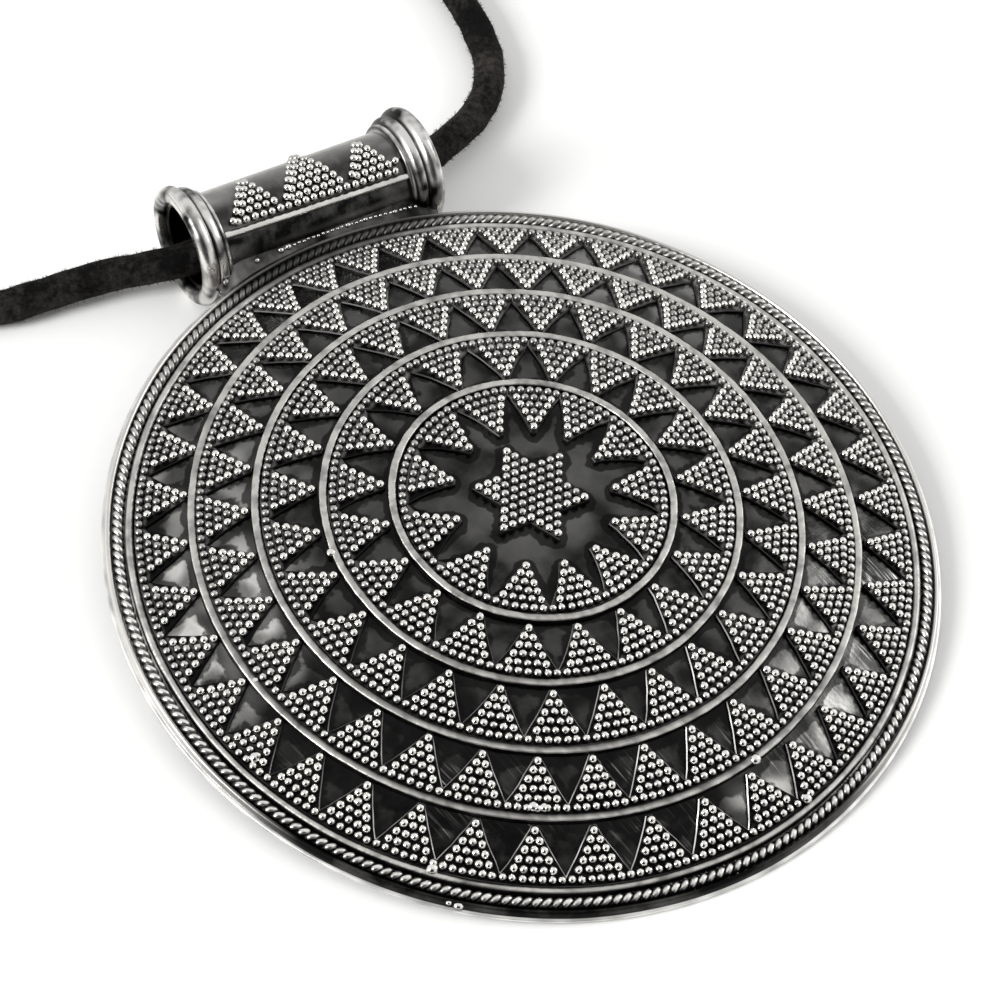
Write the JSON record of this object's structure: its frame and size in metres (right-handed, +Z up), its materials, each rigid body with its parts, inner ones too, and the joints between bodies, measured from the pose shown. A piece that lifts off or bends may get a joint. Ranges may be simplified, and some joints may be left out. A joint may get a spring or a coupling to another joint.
{
  "type": "round silver pendant on a leather cord",
  "caption": "Round domed silver pendant with tiers of granulated sawtooth rings, a centre star and a tube bail, on a looped black leather cord with a barrel clasp.",
  "frame": {"origin": "on the surface that the pendant lies on, under the middle of the pendant's own box, without the cord and clasp", "axes": "+Z up from the surface, +Y from the disc towards the bail, +X along the bail to the right of a viewer at the disc's near edge"},
  "size_m": [0.0715, 0.2008, 0.0105],
  "materials": {
    "silver": "oxidised silver, blackened in the recesses and polished on the raised wires, grains and rim",
    "cord_leather": "black suede-finished leather",
    "clasp_silver": "satin silver"
  },
  "bodies": {
    "root": {"pendant": "silver", "cord": "cord_leather", "clasp": "clasp_silver"}
  },
  "joints": []
}
